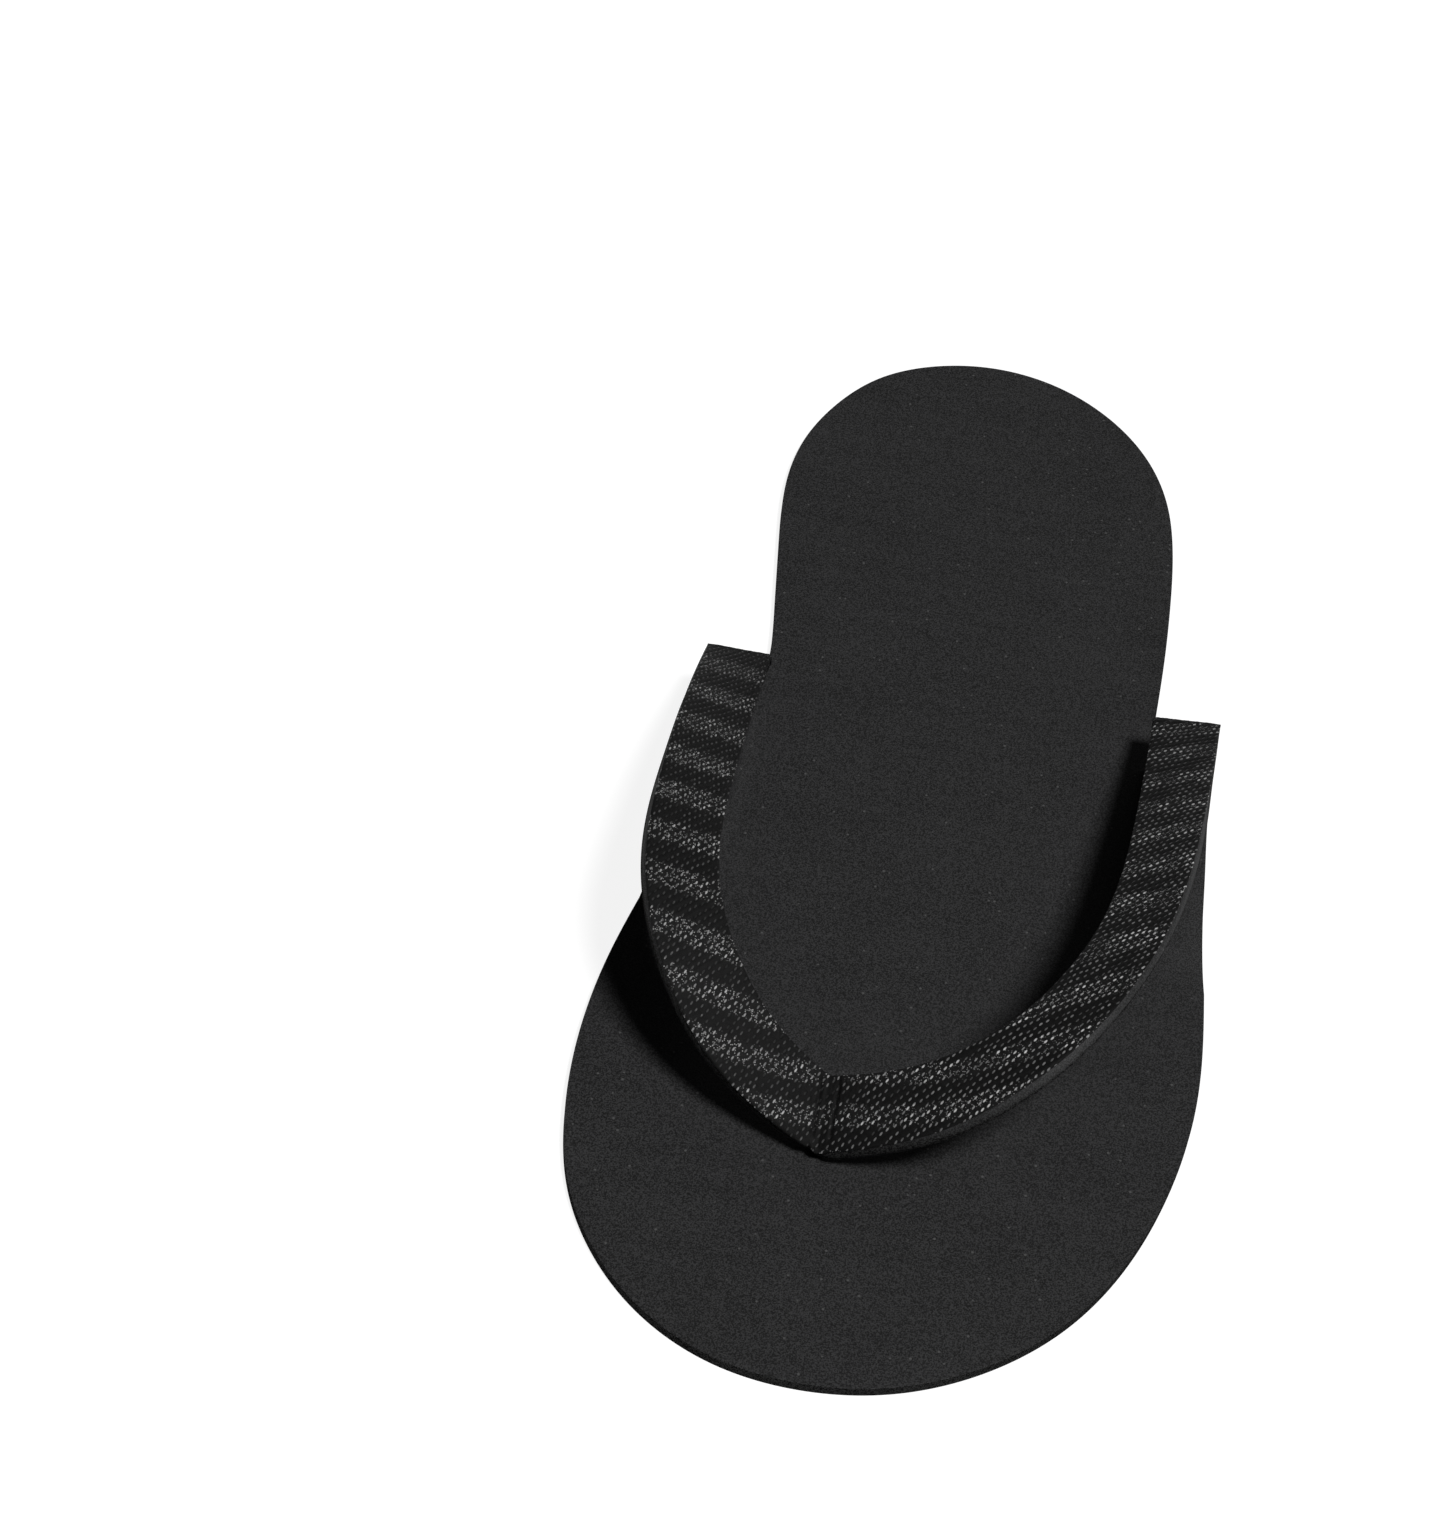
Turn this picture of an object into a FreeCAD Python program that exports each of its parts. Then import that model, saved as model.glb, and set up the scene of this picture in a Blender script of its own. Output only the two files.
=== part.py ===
import FreeCAD, Part
import os

# Left-foot flip flop, millimetres. The toe points to -Y, the heel to +Y and the outer side of the
# foot to +X. Z = 0 is the ground, and the origin is about the centre of the footprint.

# Sheets
SOLE_THICKNESS = 2.0
FACING_THICKNESS = 0.3
STRAP_THICKNESS = 2.0

# Where the sole folds when the heel is lifted: a straight line across it, at its top face
FOLD_LINE_Y = 36.0

# How far cutting boxes reach past the sheet's faces, and past the whole part
CUT_MARGIN = 1.0
CUT_REACH = 200.0

# Toe post: a strip of foam that stands between the toes, with a foot let into the sole's underside
POST_X = -10.0
POST_THICKNESS = 2.4
POST_FRONT_Y = -85.6
POST_REAR_Y = -77.2
POST_WELD_DEPTH = 0.3
SLIT_CLEARANCE = 0.1
FOOT_WIDTH = 8.0
FOOT_MARGIN = 2.0
FOOT_THICKNESS = 0.9
FOOT_CLEARANCE = 0.15

# Weld beads: the melted edges that close each strap end on to its ear
BEAD_BULGE = 0.8
BEAD_BITE = 0.25
BEAD_LIP = 0.15
BEAD_INNER_SHARE = 0.9

# Front of the sole, from the inner ear round the toe to the outer ear (x, y)
FOREFOOT_OUTLINE = [
    (-50.0, -33.5), (-52.6, -46.0), (-54.4, -59.0), (-55.0, -73.0), (-54.0, -87.0), (-50.7, -101.2),
    (-44.4, -113.3), (-34.3, -124.1), (-21.6, -131.0), (-6.8, -133.3), (8.8, -130.9), (23.4, -123.6),
    (35.7, -112.3), (44.6, -98.1), (50.9, -80.9), (54.2, -64.5), (55.0, -50.0), (54.4, -33.5),
]
# Back of the sole, from the outer notch round the heel to the inner notch (x, y)
HEEL_OUTLINE = [
    (39.9, 20.5), (40.6, 36.0), (41.2, 52.0), (41.3, 70.0), (40.6, 87.0), (38.3, 101.5), (32.7, 115.0),
    (22.8, 126.6), (11.3, 133.4), (-1.0, 135.6), (-13.0, 133.4), (-24.2, 126.9), (-33.0, 115.2),
    (-38.3, 101.5), (-40.0, 87.0), (-38.9, 70.0), (-37.1, 52.0), (-35.9, 36.0), (-36.8, 18.7),
]

# Strap: cubic curves of its top face's edges, from the toe post to the ear (x, y, z control points)
STRAP_EDGES = {
    "medial": {
        "inner": [(-10.0, -76.4, 12.3), (-20.7, -71.4, 15.6), (-30.9, -61.6, 24.3), (-36.4, -45.4, 27.5),
                  (-36.6, -23.7, 24.7), (-35.8, 0.5, 19.7), (-34.8, 24.7, 12.2)],
        "outer": [(-10.0, -87.4, 4.2), (-28.2, -82.8, 10.6), (-43.2, -69.1, 24.5), (-49.6, -47.2, 31.3),
                  (-48.8, -22.1, 29.5), (-48.6, 2.2, 22.9), (-47.4, 24.9, 12.4)],
    },
    "lateral": {
        "inner": [(-10.0, -76.4, 12.3), (3.2, -76.7, 16.6), (17.4, -71.1, 23.9), (27.4, -56.9, 26.9),
                  (35.2, -35.2, 24.2), (37.4, -7.1, 18.3), (39.3, 26.5, 11.2)],
        "outer": [(-10.0, -87.4, 4.2), (6.9, -89.4, 12.2), (25.5, -81.9, 25.4), (38.9, -62.6, 31.6),
                  (47.0, -36.1, 29.7), (49.7, -6.5, 22.4), (52.1, 26.7, 12.2)],
    },
}
STRAP_STATIONS = 24
APEX_BLEND = 0.12

# Ears: flaps of the sole sheet that rise to meet the ends of the strap. Each has the x of its fold, the
# x of its free edge at the front, middle and back, the y of the fold's back end, and the y of the tip.
EARS = {
    "lateral": {"fold_x": 38.6, "edge_x": (54.2, 51.7, 52.1), "notch_y": 20.5, "tip_y": 26.7},
    "medial": {"fold_x": -36.2, "edge_x": (-50.0, -47.2, -47.4), "notch_y": 18.7, "tip_y": 24.9},
}
EAR_FRONT_Y = -33.5
EAR_LAP = 2.0
EAR_ROOT_LAP = 1.0
EAR_ROOT_INSET = 0.02
EAR_THICKNESS = 1.9
# Height that the free edge gains from the front to the middle, and again from there to the tip
EAR_RISE = 6.2
EAR_TIP_RISE = 1.7
EAR_TIP_POWER = 1.5
# The ear stands up as a wall next to its fold and levels out under the strap
EAR_WALL_SHARE = 0.48
EAR_SHELF_SLOPE = 0.12
EAR_WALL_GROWTH = 1.35
EAR_ROWS = 16
EAR_COLUMNS = 16
SLOPE_STEP = 0.01


def vector(point):
    """Coordinates as a vector."""
    return FreeCAD.Vector(*point)


def curve_through(points):
    """Smooth open curve through the points."""
    curve = Part.BSplineCurve()
    curve.interpolate([vector(p) for p in points])
    return curve


def curve_from_poles(poles):
    """Clamped uniform cubic curve on seven control points."""
    curve = Part.BSplineCurve()
    curve.buildFromPolesMultsKnots([vector(p) for p in poles], [4, 1, 1, 1, 4], [0, 1, 2, 3, 4], False, 3)
    return curve


def smooth_step(value):
    """S-shaped ramp from 0 to 1."""
    clamped = min(max(value, 0.0), 1.0)
    return clamped * clamped * (3 - 2 * clamped)


def upward_normal(across, along):
    """Unit vector square to both directions, pointing up."""
    normal = across.cross(along).normalize()
    return normal if normal.z > 0 else -normal


def flat(points):
    """Outline points laid on the ground."""
    return [(x, y, 0.0) for x, y in points]


def strap_rulings(side):
    """Inner edge point, outer edge point and upward normal of the strap's top face along one arm."""
    inner = curve_from_poles(STRAP_EDGES[side]["inner"])
    outer = curve_from_poles(STRAP_EDGES[side]["outer"])
    apex_normal = upward_normal(outer.value(0) - inner.value(0), FreeCAD.Vector(1, 0, 0))
    last = inner.LastParameter
    rulings = []
    for station in range(STRAP_STATIONS + 1):
        share = station / STRAP_STATIONS
        parameter = share * last
        across = outer.value(parameter) - inner.value(parameter)
        along = inner.tangent(parameter)[0] + outer.tangent(parameter)[0]
        normal = upward_normal(across, along)
        weight = smooth_step(share / APEX_BLEND)
        normal = (apex_normal * (1 - weight) + normal * weight).normalize()
        rulings.append((inner.value(parameter), outer.value(parameter), normal))
    return rulings


def strap_layer(top_depth, bottom_depth):
    """One layer of the strap: both arms as one solid, between two depths below the top face."""
    faces = []
    for side in STRAP_EDGES:
        rulings = strap_rulings(side)
        edges = {}
        for level, depth in (("top", top_depth), ("bottom", bottom_depth)):
            for name, index in (("inner", 0), ("outer", 1)):
                points = [ruling[index] - ruling[2] * depth for ruling in rulings]
                edges[level, name] = curve_through([tuple(p) for p in points]).toShape()
        for first, second in (
            (("top", "inner"), ("top", "outer")),
            (("bottom", "inner"), ("bottom", "outer")),
            (("top", "inner"), ("bottom", "inner")),
            (("top", "outer"), ("bottom", "outer")),
        ):
            faces.append(Part.makeRuledSurface(edges[first], edges[second]))
        inner, outer, normal = rulings[-1]
        top_line = Part.makeLine(inner - normal * top_depth, outer - normal * top_depth)
        bottom_line = Part.makeLine(inner - normal * bottom_depth, outer - normal * bottom_depth)
        faces.append(Part.makeRuledSurface(top_line, bottom_line))
    return solid_from(faces)


def solid_from(faces):
    """Closed solid sewn from faces that share their borders."""
    shell = Part.makeShell(faces)
    shell.sewShape()
    solid = Part.makeSolid(shell)
    if solid.Volume < 0:
        solid.reverse()
    return solid


def ear_point(side, across, along):
    """Point of the ear's top face: across runs from the fold to the free edge, along from front to back."""
    shape = EARS[side]
    front_y = EAR_FRONT_Y - EAR_LAP
    edge_y = front_y + (shape["tip_y"] - front_y) * along
    fold_y = front_y + (shape["notch_y"] - front_y) * along
    front_x, middle_x, back_x = shape["edge_x"]
    edge_x = through_three(edge_y, (front_y, front_x), (0.0, middle_x), (shape["tip_y"], back_x))
    rise = EAR_RISE * smooth_step(1 - edge_y / front_y)
    rise += EAR_TIP_RISE * max(edge_y / shape["tip_y"], 0.0) ** EAR_TIP_POWER
    width = edge_x - shape["fold_x"]
    if across < 0:
        return FreeCAD.Vector(shape["fold_x"] + width * across, fold_y, SOLE_THICKNESS)
    wall = (1 - EAR_SHELF_SLOPE) * smooth_step(across / EAR_WALL_SHARE) + EAR_SHELF_SLOPE * across
    ramp = across * across * (2 - across)
    upright = smooth_step(along * EAR_WALL_GROWTH)
    lift = wall * upright + ramp * (1 - upright)
    return FreeCAD.Vector(
        shape["fold_x"] + width * across,
        fold_y + (edge_y - fold_y) * lift,
        SOLE_THICKNESS + rise * lift,
    )


def through_three(value, first, second, third):
    """Parabola through three points, at a value."""
    total = 0.0
    for here, other, another in ((first, second, third), (second, first, third), (third, first, second)):
        share = (value - other[0]) * (value - another[0]) / ((here[0] - other[0]) * (here[0] - another[0]))
        total += here[1] * share
    return total


def surface_through(grid):
    """Smooth surface through a grid of points."""
    surface = Part.BSplineSurface()
    surface.interpolate(grid)
    return surface


def ear(side):
    """Bent flap of the sheet, lapped into the flat sheet along its fold and its front."""
    shape = EARS[side]
    root = -EAR_ROOT_LAP / abs(shape["edge_x"][1] - shape["fold_x"])
    top = []
    bottom = []
    for row in range(EAR_ROWS + 1):
        along = row / EAR_ROWS
        top.append([])
        bottom.append([])
        for column in range(EAR_COLUMNS + 1):
            across = root + (1 - root) * column / EAR_COLUMNS
            point = ear_point(side, across, along)
            wider = ear_point(side, across + SLOPE_STEP, along)
            narrower = ear_point(side, across - SLOPE_STEP, along)
            ahead = ear_point(side, across, along - SLOPE_STEP)
            behind = ear_point(side, across, along + SLOPE_STEP)
            normal = upward_normal(wider - narrower, behind - ahead)
            inset = EAR_ROOT_INSET if point.z < SOLE_THICKNESS + EAR_ROOT_INSET else 0.0
            top[-1].append(point - normal * inset)
            bottom[-1].append(point - normal * EAR_THICKNESS)
    upper = surface_through(top)
    lower = surface_through(bottom)
    faces = [upper.toShape(), lower.toShape()]
    u_low, u_high, v_low, v_high = upper.bounds()
    for value in (u_low, u_high):
        faces.append(Part.makeRuledSurface(upper.uIso(value).toShape(), lower.uIso(value).toShape()))
    for value in (v_low, v_high):
        faces.append(Part.makeRuledSurface(upper.vIso(value).toShape(), lower.vIso(value).toShape()))
    return solid_from(faces)


def box(low, high):
    """Block between two opposite corners."""
    size = vector(high) - vector(low)
    return Part.makeBox(size.x, size.y, size.z, vector(low))


def sole_sheet():
    """The whole flat sheet without its ears."""
    forefoot = curve_through(flat(FOREFOOT_OUTLINE)).toShape()
    heel = curve_through(flat(HEEL_OUTLINE)).toShape()
    lateral_x = EARS["lateral"]["fold_x"]
    medial_x = EARS["medial"]["fold_x"]
    front_start, front_end = FOREFOOT_OUTLINE[0], FOREFOOT_OUTLINE[-1]
    heel_start, heel_end = HEEL_OUTLINE[0], HEEL_OUTLINE[-1]
    lateral_step = [front_end, (lateral_x, EAR_FRONT_Y), (lateral_x, heel_start[1]), heel_start]
    medial_step = [heel_end, (medial_x, heel_end[1]), (medial_x, EAR_FRONT_Y), front_start]
    edges = [forefoot]
    edges += Part.makePolygon([vector(p) for p in flat(lateral_step)]).Edges
    edges.append(heel)
    edges += Part.makePolygon([vector(p) for p in flat(medial_step)]).Edges
    return Part.Face(Part.Wire(edges)).extrude(FreeCAD.Vector(0, 0, SOLE_THICKNESS))


def post_slit():
    """Slit for the toe post, with the recess for its foot."""
    half = POST_THICKNESS / 2 + SLIT_CLEARANCE
    slit = box(
        (POST_X - half, POST_FRONT_Y - SLIT_CLEARANCE, -CUT_MARGIN),
        (POST_X + half, POST_REAR_Y + SLIT_CLEARANCE, SOLE_THICKNESS + CUT_MARGIN),
    )
    recess = box(
        (POST_X - FOOT_WIDTH / 2, POST_FRONT_Y - FOOT_MARGIN, -CUT_MARGIN),
        (POST_X + FOOT_WIDTH / 2, POST_REAR_Y + FOOT_MARGIN, FOOT_THICKNESS),
    )
    return slit.fuse(recess)


def sole_pieces():
    """The sole with its ears, parted at the fold line."""
    sheet = sole_sheet().fuse([ear("lateral"), ear("medial")]).cut(post_slit())
    ahead = box((-CUT_REACH, -CUT_REACH, -CUT_REACH), (CUT_REACH, FOLD_LINE_Y, CUT_REACH))
    behind = box((-CUT_REACH, FOLD_LINE_Y, -CUT_REACH), (CUT_REACH, CUT_REACH, CUT_REACH))
    return sheet.common(ahead), sheet.common(behind)


def toe_post():
    """Upright strip under the strap's point, on a thin foot."""
    inner = vector(STRAP_EDGES["medial"]["inner"][0])
    outer = vector(STRAP_EDGES["medial"]["outer"][0])
    ruling = (outer - inner).normalize()
    normal = upward_normal(ruling, FreeCAD.Vector(1, 0, 0))
    under = inner - normal * (STRAP_THICKNESS - POST_WELD_DEPTH)

    def under_strap(y):
        return under.z + ruling.z / ruling.y * (y - under.y)

    x_low = POST_X - POST_THICKNESS / 2
    profile = [
        (x_low, POST_FRONT_Y, FOOT_THICKNESS),
        (x_low, POST_FRONT_Y, under_strap(POST_FRONT_Y)),
        (x_low, POST_REAR_Y, under_strap(POST_REAR_Y)),
        (x_low, POST_REAR_Y, FOOT_THICKNESS),
    ]
    face = Part.Face(Part.makePolygon([vector(p) for p in profile + profile[:1]]))
    blade = face.extrude(FreeCAD.Vector(POST_THICKNESS, 0, 0))
    half = FOOT_WIDTH / 2 - FOOT_CLEARANCE
    margin = FOOT_MARGIN - FOOT_CLEARANCE
    foot = box(
        (POST_X - half, POST_FRONT_Y - margin, 0),
        (POST_X + half, POST_REAR_Y + margin, FOOT_THICKNESS),
    )
    return blade.fuse(foot)


def weld_bead(side):
    """Rounded bead behind the strap's end and the ear's rear edge."""
    inner, outer, normal = strap_rulings(side)[-1]
    ear_top = SOLE_THICKNESS + EAR_RISE + EAR_TIP_RISE
    sections = []
    for point, share in ((inner, BEAD_INNER_SHARE), (outer, 1.0)):
        top = point.z + BEAD_LIP
        bottom = ear_top * share - SOLE_THICKNESS - BEAD_LIP
        face_y = point.y - BEAD_BITE
        back_y = point.y + BEAD_BULGE
        upper = FreeCAD.Vector(point.x, face_y, top)
        lower = FreeCAD.Vector(point.x, face_y, bottom)
        middle = FreeCAD.Vector(point.x, back_y, (top + bottom) / 2)
        sections.append(Part.Wire([Part.Arc(lower, middle, upper).toShape(), Part.makeLine(upper, lower)]))
    return Part.makeLoft(sections, True, True)


def main():
    """Model every piece, print its size and write its file."""
    os.makedirs("parts", exist_ok=True)
    sole_front, sole_heel = sole_pieces()
    pieces = {
        "sole_front": sole_front,
        "sole_heel": sole_heel,
        "strap_foam": strap_layer(FACING_THICKNESS, STRAP_THICKNESS),
        "strap_facing": strap_layer(0.0, FACING_THICKNESS),
        "toe_post": toe_post(),
        "weld_bead_medial": weld_bead("medial"),
        "weld_bead_lateral": weld_bead("lateral"),
    }
    for name, shape in pieces.items():
        print(name, "valid", shape.isValid(), "solids", len(shape.Solids), "volume", round(shape.Volume, 1))
        shape.exportStep(os.path.join("parts", name + ".step"))


main()
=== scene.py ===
import math

import bmesh
import bpy
import numpy as np
from mathutils import Matrix, Vector


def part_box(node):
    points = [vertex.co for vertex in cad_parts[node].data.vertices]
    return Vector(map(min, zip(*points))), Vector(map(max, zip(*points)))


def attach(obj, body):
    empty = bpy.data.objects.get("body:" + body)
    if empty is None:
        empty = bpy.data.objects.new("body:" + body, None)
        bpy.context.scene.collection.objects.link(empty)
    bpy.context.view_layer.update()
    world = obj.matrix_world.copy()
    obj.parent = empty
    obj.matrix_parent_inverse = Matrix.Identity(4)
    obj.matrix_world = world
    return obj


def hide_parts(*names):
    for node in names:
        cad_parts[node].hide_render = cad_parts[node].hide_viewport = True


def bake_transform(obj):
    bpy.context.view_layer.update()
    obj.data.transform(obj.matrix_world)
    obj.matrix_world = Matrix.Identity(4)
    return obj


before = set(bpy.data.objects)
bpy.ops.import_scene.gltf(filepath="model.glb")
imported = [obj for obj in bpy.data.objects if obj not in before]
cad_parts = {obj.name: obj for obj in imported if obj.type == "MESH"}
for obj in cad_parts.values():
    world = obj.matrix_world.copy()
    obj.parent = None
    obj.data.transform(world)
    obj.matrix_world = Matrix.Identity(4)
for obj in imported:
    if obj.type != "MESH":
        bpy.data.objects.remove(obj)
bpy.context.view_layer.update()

# Left-foot flip flop. Lengths are in millimetres and are turned into metres when a mesh is made.
# The toe points to -Y, the heel to +Y and the outer side of the foot to +X.
MM = 0.001

SOLE_THICKNESS = 2.0
SOLE_EDGE_RADIUS = 0.32
SOLE_EDGE_SEGMENTS = 3
BEVEL_ANGLE = 50
CUT_MARGIN = 1.0

# Front of the sole, from the inner ear round the toe to the outer ear
FOREFOOT_OUTLINE = [
    (-50.0, -33.5), (-52.6, -46.0), (-54.4, -59.0), (-55.0, -73.0), (-54.0, -87.0), (-50.7, -101.2),
    (-44.4, -113.3), (-34.3, -124.1), (-21.6, -131.0), (-6.8, -133.3), (8.8, -130.9), (23.4, -123.6),
    (35.7, -112.3), (44.6, -98.1), (50.9, -80.9), (54.2, -64.5), (55.0, -50.0), (54.4, -33.5),
]
# Back of the sole, from the outer notch round the heel to the inner notch
HEEL_OUTLINE = [
    (39.9, 20.5), (40.6, 36.0), (41.2, 52.0), (41.3, 70.0), (40.6, 87.0), (38.3, 101.5), (32.7, 115.0),
    (22.8, 126.6), (11.3, 133.4), (-1.0, 135.6), (-13.0, 133.4), (-24.2, 126.9), (-33.0, 115.2),
    (-38.3, 101.5), (-40.0, 87.0), (-38.9, 70.0), (-37.1, 52.0), (-35.9, 36.0), (-36.8, 18.7),
]
CENTRE_X = 1.2
CENTRE_COLUMNS = 16
EAR_COLUMNS = 14
HEEL_CENTRE_Y = 62.0
ROW_PITCH = 1.1
CURVE_SAMPLES = 4000
HEEL_SAMPLES = 2000
HEEL_SIDE_SAMPLES = 800
TOE_CAP_POINTS = 190
HEEL_CAP_POINTS = 120

# Ears: flaps of the sole that rise to meet the ends of the strap. Their free edge has the X of
# edge_x at the ear's front, at Y = 0 and at its tip.
EARS = {
    "lateral": {"fold_x": 38.6, "edge_x": (54.4, 51.7, 52.1), "notch_y": 20.5, "tip_y": 26.7},
    "medial": {"fold_x": -36.2, "edge_x": (-50.0, -47.2, -47.4), "notch_y": 18.7, "tip_y": 24.9},
}
EAR_FRONT_Y = -33.5
EAR_RISE = 6.2
EAR_TIP_RISE = 1.7
EAR_TIP_POWER = 1.5
EAR_WALL_SHARE = 0.48
EAR_SHELF_SLOPE = 0.12
EAR_WALL_GROWTH = 1.35
NOTCH_STEP = 0.8

# Toe post and the slit it stands in
POST_X = -10.0
POST_THICKNESS = 2.4
POST_FRONT_Y = -85.6
POST_REAR_Y = -77.2
POST_SINK = 0.3
POST_FLARE = 0.5
POST_FLARE_HEIGHT = 1.6
SLIT_CLEARANCE = 0.1
FOOT_WIDTH = 8.0
FOOT_MARGIN = 2.0
FOOT_THICKNESS = 0.9
FOOT_CLEARANCE = 0.15
FOOT_LIFT = 0.02
FOOT_TOP_GAP = 0.05
FOOT_EDGE_RADIUS = 0.22
FOOT_EDGE_SEGMENTS = 3
POST_FOOT_SHARE = 0.5
POST_CORNERS = 24
POST_LEVELS = 14
POST_CORNER_POWER = 0.32

# Strap: control points of its top face's edges, from the toe post to the ear
STRAP_EDGES = {
    "medial": {
        "inner": [(-10.0, -76.4, 12.3), (-20.7, -71.4, 15.6), (-30.9, -61.6, 24.3), (-36.4, -45.4, 27.5),
                  (-36.6, -23.7, 24.7), (-35.8, 0.5, 19.7), (-34.8, 24.7, 12.2)],
        "outer": [(-10.0, -87.4, 4.2), (-28.2, -82.8, 10.6), (-43.2, -69.1, 24.5), (-49.6, -47.2, 31.3),
                  (-48.8, -22.1, 29.5), (-48.6, 2.2, 22.9), (-47.4, 24.9, 12.4)],
    },
    "lateral": {
        "inner": [(-10.0, -76.4, 12.3), (3.2, -76.7, 16.6), (17.4, -71.1, 23.9), (27.4, -56.9, 26.9),
                  (35.2, -35.2, 24.2), (37.4, -7.1, 18.3), (39.3, 26.5, 11.2)],
        "outer": [(-10.0, -87.4, 4.2), (6.9, -89.4, 12.2), (25.5, -81.9, 25.4), (38.9, -62.6, 31.6),
                  (47.0, -36.1, 29.7), (49.7, -6.5, 22.4), (52.1, 26.7, 12.2)],
    },
}
STRAP_KNOTS = (0, 0, 0, 0, 1, 2, 3, 4, 4, 4, 4)
STRAP_DEGREE = 3
KNOT_MARGIN = 1e-9
STRAP_THICKNESS = 2.0
FACING_THICKNESS = 0.3
APEX_BLEND = 0.12
FACING_PITCH = 0.22
FOAM_PITCH = 0.8
# Section of the foam under the fabric: share of the width, and depth below the fabric's face
FOAM_SECTION = [
    (0.012, 0.3), (0.25, 0.3), (0.5, 0.3), (0.75, 0.3), (0.988, 0.3), (0.995, 0.5), (0.990, 0.95),
    (0.991, 1.4), (0.997, 1.72), (0.990, 1.9), (0.972, 1.98), (0.945, 2.0), (0.75, 2.0), (0.5, 2.0),
    (0.25, 2.0), (0.055, 2.0), (0.028, 1.98), (0.010, 1.9), (0.003, 1.72), (0.009, 1.4),
    (0.010, 0.95), (0.005, 0.5),
]

# Number of the light stripe that crosses each edge at five even places from the toe post to the ear
STRIPE_NUMBERS = {
    "medial": {"inner": (9.0, 6.8, 4.17, 1.63, -0.8), "outer": (10.85, 8.59, 5.03, 1.88, -0.7)},
    "lateral": {"inner": (9.25, 8.1, 6.1, 3.1, -0.5), "outer": (10.85, 9.96, 7.22, 3.81, -0.1)},
}

# Bond points of the non-woven facing: slanted ovals on a staggered lattice
BOND_PITCH_X = 1.9
BOND_PITCH_Y = 1.75
SUBLATTICES = (0.0, 0.5)
BOND_LENGTH = 0.84
BOND_WIDTH = 0.34
BOND_SLANT = math.radians(65)
BOND_STRAY = 0.5
BOND_SOFTNESS = 0.45
PILLOW_HEIGHT = 0.13
PILLOW_MIDDLE = 0.45
FACING_EDGE_DROP = 0.14
FACING_EDGE_WIDTH = 0.55

# Crimps of the weld between strap and toe post: places across the strap's point
CRIMP_X = (-1.3, 2.0)
CRIMP_DEPTH = 0.34
CRIMP_WIDTH = 0.34
CRIMP_START = 0.2
CRIMP_END = 11.4
CRIMP_FADE = 1.2
# Small notch in the front edge beside the strap's point
NOTCH_PLACE = 1.6
NOTCH_DEPTH = 0.5
NOTCH_WIDTH = 0.55
# Ledge of bare foam along the outer arm's front edge: how far the foam reaches past the fabric.
# Spans are distances along that edge from the strap's point.
LEDGE_WIDTH = 1.3
LEDGE_INSET_SHARE = 0.2
LEDGE_FAR_SHARE = 0.35
LEDGE_START = (-0.6, 3.0)
LEDGE_TAPER = (38.0, 70.0)
LEDGE_END = (112.0, 140.0)
LEDGE_DEPTH = 0.8
# Rim of foam that shows past the fabric along the inner arm's front edge
RIM_WIDTH = 0.5
RIM_START = (1.5, 9.0)
RIM_END = (60.0, 105.0)

# Rounded nose where the strap's end and the ear are melted together. Each ripple has a size, a rate
# and a phase.
NOSE_BULGE = 0.75
NOSE_BITE = 0.35
NOSE_LIP = 0.12
NOSE_STATIONS = 48
NOSE_SEGMENTS = 12
NOSE_INNER_ROUNDING = 0.05
NOSE_OUTER_ROUNDING = 0.16
NOSE_END_SHARE = 0.3
NOSE_JOIN_START = 0.12
NOSE_JOIN_LENGTH = 0.38
NOSE_RIPPLES = ((0.05, 41, 0), (0.04, 97, 1))
NOSE_SQUARENESS = 0.75
NOSE_BACK_SHARE = 0.96
BEAD_OUTER_RISE = 0.99


# ---------------------------------------------------------------- shapes

def smooth_step(value):
    """0 below 0, 1 above 1, and a smooth rise between them."""
    clamped = np.clip(value, 0.0, 1.0)
    return clamped * clamped * (3 - 2 * clamped)


def passed(value, span):
    """Smooth rise from 0 before a span to 1 after it."""
    return smooth_step((value - span[0]) / (span[1] - span[0]))


def unit(vectors):
    """The vectors at length 1."""
    return vectors / np.linalg.norm(vectors, axis=-1, keepdims=True)


def distances_along(points):
    """Distance travelled along a run of points, from its start to each of them."""
    steps = np.linalg.norm(np.diff(points, axis=0), axis=1)
    return np.concatenate([[0.0], np.cumsum(steps)])


def natural_spline(places, values, wanted):
    """Smooth curve through values at places, read at the wanted places."""
    places = np.asarray(places, float)
    values = np.asarray(values, float)
    count = len(places)
    gaps = np.diff(places)
    slopes = (np.diff(values, axis=0).T / gaps).T
    matrix = np.eye(count)
    right = np.zeros_like(values)
    for i in range(1, count - 1):
        matrix[i, i - 1:i + 2] = gaps[i - 1], 2 * (gaps[i - 1] + gaps[i]), gaps[i]
        right[i] = 6 * (slopes[i] - slopes[i - 1])
    bends = np.linalg.solve(matrix, right)
    index = np.clip(np.searchsorted(places, wanted) - 1, 0, count - 2)
    gap = gaps[index]
    after = (np.asarray(wanted) - places[index]) / gap
    before = 1 - after
    if values.ndim == 2:
        gap, after, before = gap[:, None], after[:, None], before[:, None]
    curve = before * values[index] + after * values[index + 1]
    bend = (before ** 3 - before) * bends[index] + (after ** 3 - after) * bends[index + 1]
    return curve + bend * gap ** 2 / 6


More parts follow.
